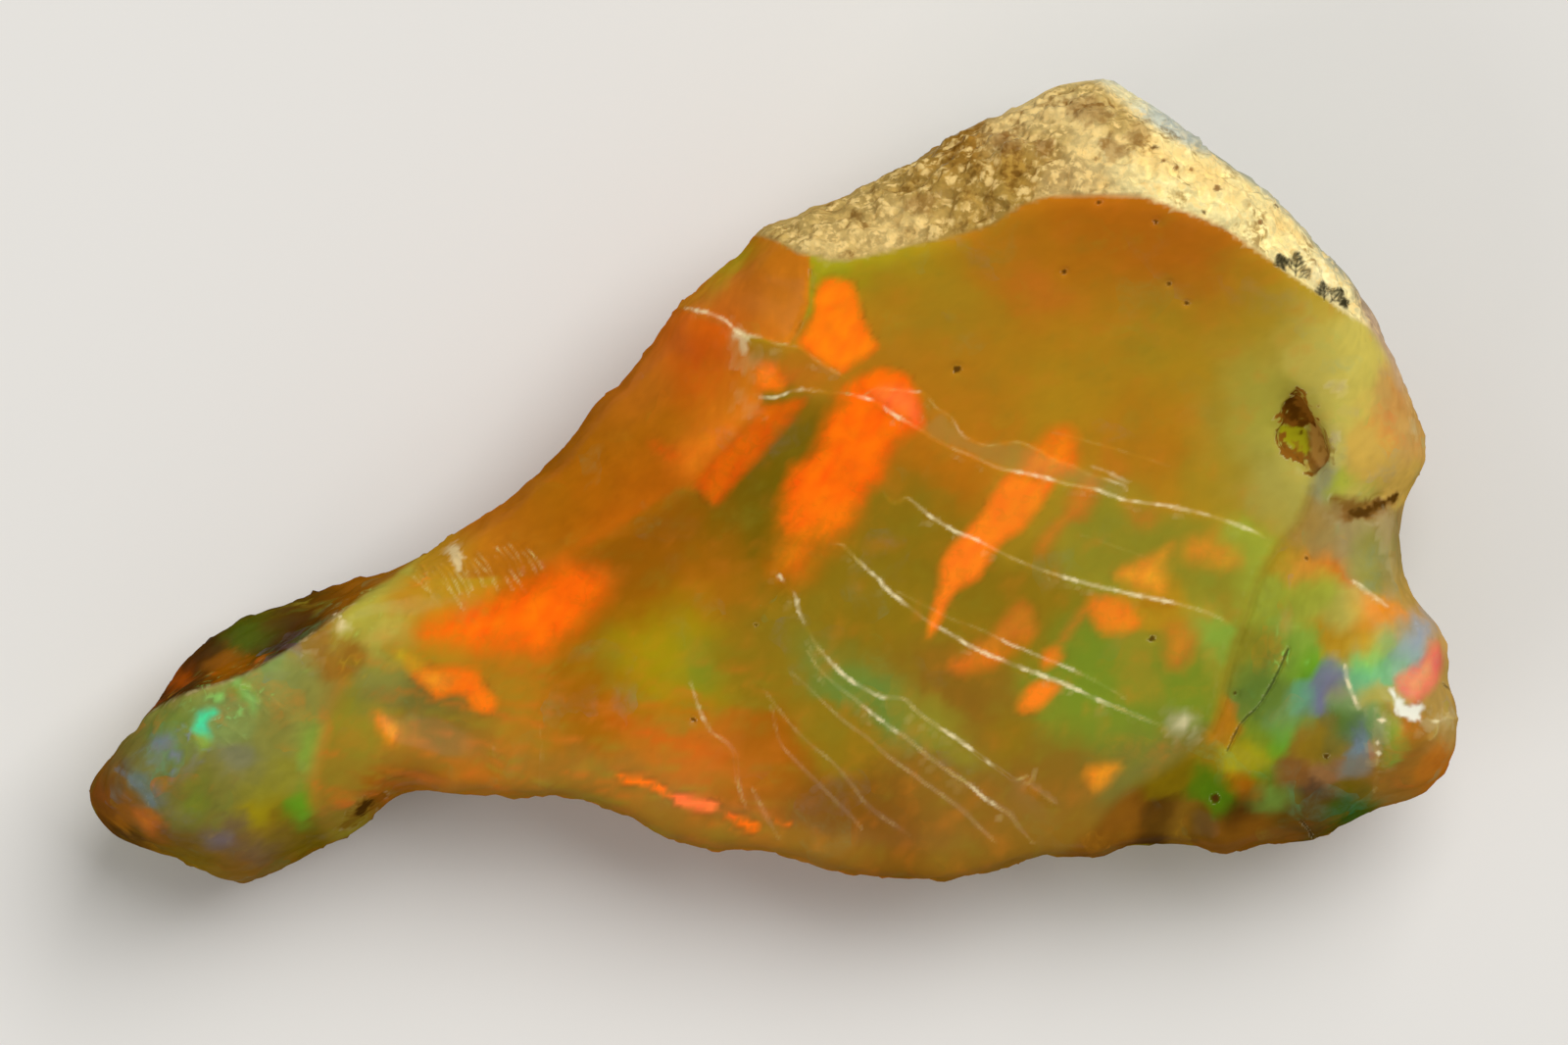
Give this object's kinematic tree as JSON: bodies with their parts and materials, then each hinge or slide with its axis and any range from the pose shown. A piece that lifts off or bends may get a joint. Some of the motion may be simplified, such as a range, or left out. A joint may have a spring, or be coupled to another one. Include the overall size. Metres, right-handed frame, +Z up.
{
  "type": "rough ethiopian opal",
  "caption": "Rough precious opal broken from a nodule, with a shell-shaped scar, a narrow neck and a tail, and cream rind left on its upper edge.",
  "frame": {"origin": "on the resting plane, under the centre of the box", "axes": "+X along the stone from its tail to its knob, +Y across it towards the rind's crest, +Z up out of the scar"},
  "size_m": [0.0351, 0.0206, 0.0097],
  "materials": {
    "opal": "glossy translucent amber opal with orange and green play of colour, matt cream rind on its outer skin"
  },
  "bodies": {
    "root": {"rough_opal": "opal"}
  },
  "joints": []
}
